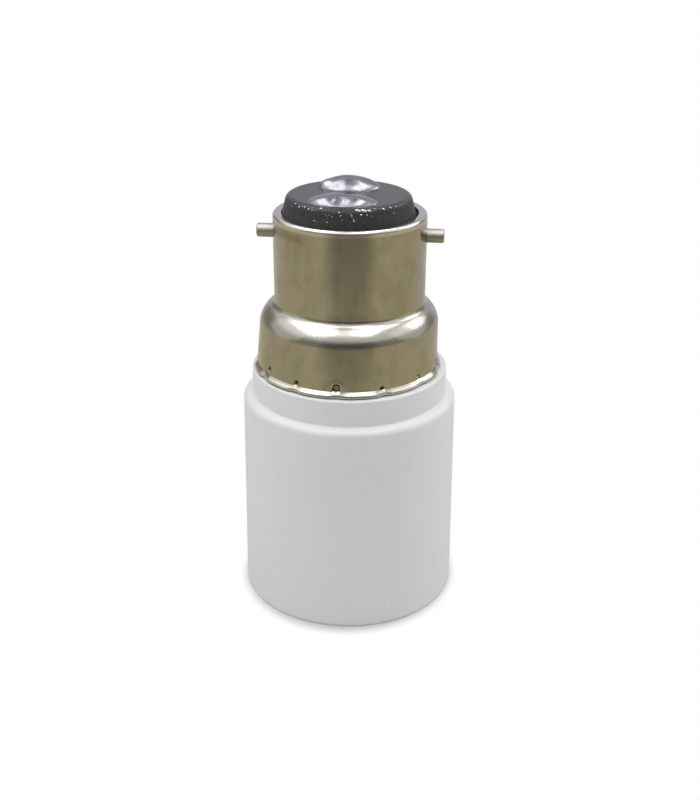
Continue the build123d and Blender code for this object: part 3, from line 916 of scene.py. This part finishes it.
class ADAPTER_OT_solder(bpy.types.Operator):
    """Model the two solder contacts and the specks that were splashed beside them"""

    bl_idname = "adapter.solder"
    bl_label = "Solder contacts"

    def execute(self, context):
        sizes = context.scene.adapter_contacts
        finish = bright_solder("bright_solder", 1.0)
        # Pushes in millimetres: the place from the dome's middle, the push and its reach
        front = (
            (-2.6, -1.5, (-0.15, -0.1, 0.16), 1.9),
            (2.4, -1.6, (0.12, -0.12, 0.12), 1.8),
            (0.4, 1.2, (0, 0, -0.2), 1.5),
            (-0.2, -2.0, (0, 0.2, -0.05), 1.2),
            (3.6, 0.4, (0.1, 0.1, -0.12), 1.3),
        )
        rear = (
            (-0.6, -0.6, (0, 0, 0.1), 2.2),
            (-3.4, -0.8, (-0.1, -0.1, 0.18), 1.2),
            (2.9, -1.0, (0.1, 0, -0.14), 1.5),
            (0.9, -1.6, (0, 0.15, 0.06), 1.1),
        )
        for name, node, pushes in (
            ("solder_contact_front", "solder_dome_front", front),
            ("solder_contact_rear", "solder_dome_rear", rear),
        ):
            dome = self.dome(name, node, sizes)
            for x, y, push, reach in pushes:
                self.knead(dome, node, x, y, push, reach)
            finish_piece(dome, finish, "solder", node, smooth=60)
        # The specks' solder is a copy of the domes' solder at 2.2 times the brightness, painting brighter
        # glints on the small drops.
        finish_piece(self.specks(sizes), bright_solder("splashed_solder_painted_glint", 2.2), "solder", smooth=60)
        return {"FINISHED"}

    def dome(self, name, node, sizes):
        """An oval cap cut from a ball, on the box of its node."""
        low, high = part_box(node)
        half = (high - low) / 2
        sunk = math.sqrt(1 - sizes.dome_share**2)
        wide = half / sizes.dome_share
        tall = (high.z - low.z) / (1 - sunk)
        start_piece()
        bpy.ops.mesh.primitive_uv_sphere_add(segments=128, ring_count=96, radius=1)
        dome = begin(name)
        bpy.ops.transform.resize(value=(wide.x, wide.y, tall))
        bpy.ops.transform.translate(value=(low.x + half.x, low.y + half.y, low.z - sunk * tall))
        foot = (0, 0, low.z - sizes.dome_sunk)
        bpy.ops.mesh.bisect(plane_co=foot, plane_no=(0, 0, 1), clear_inner=True, use_fill=True)
        return dome

    def knead(self, dome, node, x, y, push, reach):
        """Push the skin of a dome at a place given in millimetres from the middle of its node."""
        low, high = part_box(node)
        middle = (low + high) / 2
        spot = np.array((middle.x + x * MM, middle.y + y * MM, 0))
        core = 0.25 * MM
        foot = low.z + MM / 20
        select(dome, lambda p: (radii(p - spot) < core) & (p[:, 2] > foot))
        drag([number * MM for number in push], reach * MM)

    def specks(self, sizes):
        """Flattened drops of solder along the front edge of the insulator, some large and many small."""
        draw = random.Random(23)
        # Large drops: degrees from the front, millimetres below the face, radius in millimetres, stretch
        spots = [
            *((-50, 0.3, 0.12, 1.3), (-43, 0.5, 0.14, 1.2), (-39, 0.35, 0.1, 1.3), (-36, 0.35, 0.13, 1.6)),
            *((-31, 0.5, 0.14, 1.3), (-27, 0.5, 0.11, 1.3), (-19, 0.2, 0.12, 1.8), (-20, 0.55, 0.08, 1.0)),
            *((-2, 0.5, 0.15, 1.0), (5, 0.6, 0.11, 1.0), (14, 0.25, 0.2, 2.2), (19, 0.3, 0.22, 2.4)),
            *((24, 0.35, 0.18, 2.0), (17, 0.75, 0.12, 1.2), (22, 0.8, 0.1, 1.1), (38, 0.3, 0.14, 2.6)),
            *((46, 0.3, 0.12, 2.4), (53, 0.3, 0.1, 2.0)),
        ]
        for _ in range(sizes.speck_count):
            down = 0.15 + 2.2 * abs(draw.gauss(0, 0.35))
            degrees = draw.gauss(4, 25)
            radius = sizes.speck_radius / MM * draw.uniform(0.3, 1)
            spots.append((degrees, down, radius, draw.uniform(0.8, 1.6)))
        start_piece()
        drops = []
        for degrees, down, radius, stretch in spots:
            angle = math.radians(degrees)
            height = insulator_high.z - down * MM
            rounded = 0.38 * max(0, sizes.face_round - down * MM)
            spot = around(insulator_side(sizes, height) - rounded, height, angle)
            bpy.ops.mesh.primitive_ico_sphere_add(subdivisions=2, radius=1.2 * radius * MM)
            drops.append(begin("solder_specks"))
            bpy.ops.transform.resize(value=(stretch, 0.6, 0.9))
            bpy.ops.transform.rotate(value=angle, orient_axis="Z", center_override=(0, 0, 0))
            bpy.ops.transform.translate(value=spot - Vector((sizes.lean_left, 0, 0)))
            enter("OBJECT")
        for drop in drops:
            drop.select_set(True)
        bpy.context.view_layer.objects.active = drops[0]
        bpy.ops.object.join()
        return drops[0]


class ADAPTER_OT_fittings(bpy.types.Operator):
    """Finish the screw shell, contacts, rivets, tags, wires and sleeves that keep their CAD shapes"""

    bl_idname = "adapter.fittings"
    bl_label = "Inner fittings"

    def execute(self, context):
        colours = context.scene.adapter_colours
        brass = strip_metal("rolled_brass", colours.brass, (0.42, 0.28, 0.10), (5, 0.25, 0.25))
        shell = strip_metal("rolled_shell", colours.aluminium, (0.46, 0.45, 0.43), (0.25, 0.25, 5))
        copper = strip_metal("drawn_copper", colours.copper, (0.42, 0.17, 0.09), (5, 5, 0.2))
        self.finish_nodes(shell, "screw_shell")
        self.finish_nodes(
            brass,
            "centre_contact",
            "centre_contact_rivet",
            "screw_shell_rivet",
            "centre_solder_tag",
            "shell_solder_tag",
            "contact_plate_front",
            "contact_plate_rear",
        )
        self.finish_nodes(copper, "live_lead", "neutral_lead")
        self.finish_nodes(woven_sleeve(), "live_lead_sleeve", "neutral_lead_sleeve")
        self.finish_nodes(bright_solder("tag_solder", 1.5), "live_tag_solder", "neutral_tag_solder")
        return {"FINISHED"}

    def finish_nodes(self, finish, *names):
        """Give CAD nodes a finish in their material slots."""
        for name in names:
            for material_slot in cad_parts[name].material_slots:
                material_slot.material = finish


class ADAPTER_OT_stage(bpy.types.Operator):
    """Set up the white floor, the glowing cards that paint reflections into the metal, the soft lamps and
    the camera
    """

    bl_idname = "adapter.stage"
    bl_label = "Stage"

    def execute(self, context):
        stage = context.scene.adapter_stage
        context.scene.view_settings.view_transform = "Standard"
        self.floor()
        turned = Matrix.Rotation(stage.azimuth, 3, "Z")
        self.cards(stage, turned)
        self.world(stage)
        for name, spot, width, depth, power in (
            ("lamp_left", (-0.195, -0.03, 0.41), 0.25, 0.46, stage.left_power),
            ("lamp_right", (0.11, -0.03, 0.41), 0.16, 0.46, stage.right_power),
            ("lamp_middle", (-0.02, -0.15, 0.41), 0.10, 0.24, stage.middle_power),
            ("lamp_behind", (0.42, 0.18, 0.28), 0.30, 0.30, stage.behind_power),
            ("lamp_side", (-0.42, 0.02, 0.2), 0.45, 0.45, stage.side_power),
            ("lamp_side", (0.42, 0.02, 0.2), 0.45, 0.45, stage.side_power),
        ):
            self.lamp(name, turned @ Vector(spot), width, depth, power)
        self.camera(stage)
        return {"FINISHED"}

    def floor(self):
        """A wide white floor with a painted contact shadow: an oval of darker floor near the adapter's foot
        keeps its shadow, and further out the floor glows evenly white.
        """
        start_piece()
        bpy.ops.mesh.primitive_plane_add(size=6)
        floor = bpy.context.object
        floor.name = "floor"
        finish = Finish("white_floor")
        # Painted contact shadow: within this oval round the foot the floor turns from an even white glow to
        # a darker grey floor, lit and shaded by the lamps.
        oval = finish.place((1.052, 0.98, 1))
        distance = finish.add("ShaderNodeVectorMath", {0: oval}, "Value", operation="LENGTH")
        away = finish.rise(distance, 16.1, 18.6)
        white = finish.add("ShaderNodeBsdfDiffuse", {"Color": (0.80, 0.80, 0.80)})
        shaded = finish.add("ShaderNodeBsdfDiffuse", {"Color": (0.44, 0.44, 0.44)})
        near_glow = finish.add("ShaderNodeEmission", {"Color": (0.18, 0.18, 0.18)})
        far_glow = finish.add("ShaderNodeEmission", {"Color": (1, 1, 1)})
        foot = finish.add("ShaderNodeAddShader", {0: near_glow, 1: shaded})
        seen = finish.mix(away, foot, far_glow)
        mixed = finish.mix(self.seen_rays(finish), white, seen)
        floor.data.materials.append(finish.close(mixed))

    def cards(self, stage, turned):
        """Glowing cards and a low glowing wall that only reflections see, which paint reflections into the
        metal and the solder.
        """
        # Colours of the painted reflections: a warm floor, a pale floor further back, a dark patch ahead
        # for the dark room in front, an olive low wall, a dim patch overhead and a violet wall behind.
        sand = (0.614, 0.563, 0.394)
        pale = (0.62, 0.575, 0.50)
        dark = (0.13, 0.125, 0.12)
        olive = (0.34, 0.32, 0.27)
        dim = (0.42, 0.42, 0.48)
        violet = (0.62, 0.61, 0.68)
        flat = (0, 0, 0)
        upright = (math.pi / 2, 0, 0)
        facing = (math.pi / 2, 0, stage.azimuth)
        on_floor = (0, 0, 0.0004)
        farther = (0, 0.22, 0.0006)
        ahead = turned @ Vector((0, -0.12, 0.075))
        above = (0, 0.08, 0.41)
        rear = (0, 0.4, 0.25)
        self.card("painted_reflection_floor", (0.9, 0.9), on_floor, flat, sand, (430, 10), (-440, -430, 430, 440))
        self.card("painted_reflection_rear", (0.86, 0.4), farther, flat, pale, (400, 10), (-190, -110, 180, 190))
        self.card("painted_dark_reflection_front", (0.24, 0.15), ahead, facing, dark, (74, 38), (-120, -10, -5, 58))
        self.painted_reflection_surround(olive, 0.5, 0.45, (200, 330))
        self.card("painted_dark_reflection_above", (0.3, 0.5), above, flat, dim, (45, 45), (-100, -40, 150, 200))
        self.card("painted_reflection_behind", (0.7, 0.5), rear, upright, violet, (270, 70), (-250, -249, 150, 250))

    def card(self, name, span, spot, turned, colour, sides, ends):
        """A glowing card of painted reflection that fades out at its half width and at its two ends, in
        millimetres from its middle.
        """
        start_piece()
        bpy.ops.mesh.primitive_plane_add(size=1, location=spot, rotation=turned)
        card = begin(name)
        bpy.ops.transform.resize(value=(*span, 1), orient_type="LOCAL")
        finish = Finish(name)
        half, soft = sides
        aside = finish.add("ShaderNodeMath", {0: finish.along("X")}, operation="ABSOLUTE")
        height = finish.along("Y")
        shown = 1 - finish.rise(aside, half - soft, half + soft)
        shown = shown * finish.rise(height, *ends[:2]) * (1 - finish.rise(height, *ends[2:]))
        self.hang(card, finish, shown, colour)

    def painted_reflection_surround(self, colour, radius, tall, fade):
        """A low round glowing wall of painted reflection that fades out upwards, between two heights in
        millimetres.
        """
        start_piece()
        bpy.ops.mesh.primitive_circle_add(vertices=96, radius=radius)
        wall = begin("painted_reflection_surround")
        extrude((0, 0, tall))
        finish = Finish("painted_reflection_surround")
        self.hang(wall, finish, 1 - finish.rise(finish.along("Z"), *fade), colour)

    def hang(self, card, finish, shown, colour):
        """Give a card its finish, and let reflections alone see it."""
        enter("OBJECT")
        clear = finish.add("ShaderNodeBsdfTransparent")
        solid = finish.add("ShaderNodeEmission", {"Color": colour})
        card.data.materials.append(finish.close(finish.mix(shown, clear, solid)))
        card.visible_camera = False
        card.visible_diffuse = False
        card.visible_shadow = False

    def world(self, stage):
        """White all round, at full strength where it is seen and lower where it only lights."""
        world = bpy.data.worlds.new("studio")
        bpy.context.scene.world = world
        finish = Finish("studio", world)
        low = finish.add("ShaderNodeBackground", {"Color": (1, 1, 1), "Strength": stage.ambient})
        full = finish.add("ShaderNodeBackground", {"Color": (1, 1, 1), "Strength": 1.0})
        finish.close(finish.mix(self.seen_rays(finish), low, full), "ShaderNodeOutputWorld")

    def seen_rays(self, finish):
        """1 for rays from the camera, from gloss and through glass."""
        seen = finish.add("ShaderNodeLightPath", output="Is Camera Ray")
        for name in ("Is Glossy Ray", "Is Transmission Ray"):
            seen = seen.math("MAXIMUM", seen, finish.add("ShaderNodeLightPath", output=name))
        return seen

    def lamp(self, name, spot, width, depth, power):
        """An oblong soft lamp that faces the adapter."""
        aim = Vector((0, 0, 0.03))
        back = (spot - aim).normalized()
        across = Vector((0, 1, 0)).cross(back).normalized()
        turned = Matrix((across, back.cross(across), back)).transposed()
        bpy.ops.object.light_add(type="AREA", location=spot, rotation=turned.to_euler())
        lamp = bpy.context.object
        lamp.name = name
        lamp.data.shape = "RECTANGLE"
        lamp.data.size = width
        lamp.data.size_y = depth
        lamp.data.energy = power

    def camera(self, stage):
        """The camera at the photograph's viewing angle."""
        round_axis = Matrix.Rotation(stage.azimuth, 4, "Z")
        tilted = Matrix.Rotation(math.pi / 2 - stage.elevation, 4, "X")
        turned = round_axis @ tilted @ Matrix.Rotation(stage.roll, 4, "Z")
        right = Vector((math.cos(stage.azimuth), math.sin(stage.azimuth), 0))
        aim = Vector((0, 0, stage.aim_height)) + stage.aim_right * right
        back = turned.to_3x3() @ Vector((0, 0, 1))
        bpy.ops.object.camera_add(location=aim + stage.distance * back, rotation=turned.to_euler())
        camera = bpy.context.object
        camera.data.lens = stage.lens
        camera.data.sensor_width = 36
        camera.data.clip_start = MM
        camera.data.clip_end = 10
        bpy.context.scene.camera = camera


class ADAPTER_PT_panel(bpy.types.Panel):
    """The adapter's pieces, in the order in which they are made"""

    bl_idname = "ADAPTER_PT_panel"
    bl_label = "Lamp socket adapter"
    bl_space_type = "VIEW_3D"
    bl_region_type = "UI"
    bl_category = "Adapter"

    def draw(self, context):
        for operator in OPERATORS:
            self.layout.operator(operator.bl_idname)
        for group in GROUPS:
            settings = getattr(context.scene, group)
            box = self.layout.box()
            for key in settings.__annotations__:
                box.prop(settings, key)


OPERATORS = (
    ADAPTER_OT_body,
    ADAPTER_OT_cap_shell,
    ADAPTER_OT_pins,
    ADAPTER_OT_insulator,
    ADAPTER_OT_solder,
    ADAPTER_OT_fittings,
    ADAPTER_OT_stage,
)
GROUPS = {
    "adapter_body": AdapterBodySizes,
    "adapter_cap": AdapterCapSizes,
    "adapter_contacts": AdapterContactSizes,
    "adapter_colours": AdapterColours,
    "adapter_stage": AdapterStage,
}


def register():
    for group, settings in GROUPS.items():
        bpy.utils.register_class(settings)
        setattr(bpy.types.Scene, group, PointerProperty(type=settings))
    for operator in OPERATORS:
        bpy.utils.register_class(operator)
    bpy.utils.register_class(ADAPTER_PT_panel)


def unregister():
    bpy.utils.unregister_class(ADAPTER_PT_panel)
    for operator in reversed(OPERATORS):
        bpy.utils.unregister_class(operator)
    for group, settings in GROUPS.items():
        delattr(bpy.types.Scene, group)
        bpy.utils.unregister_class(settings)


def main():
    register()
    bpy.ops.adapter.body()
    bpy.ops.adapter.cap_shell()
    bpy.ops.adapter.pins()
    bpy.ops.adapter.insulator()
    bpy.ops.adapter.solder()
    bpy.ops.adapter.fittings()
    bpy.ops.adapter.stage()


if __name__ == "__main__":
    main()
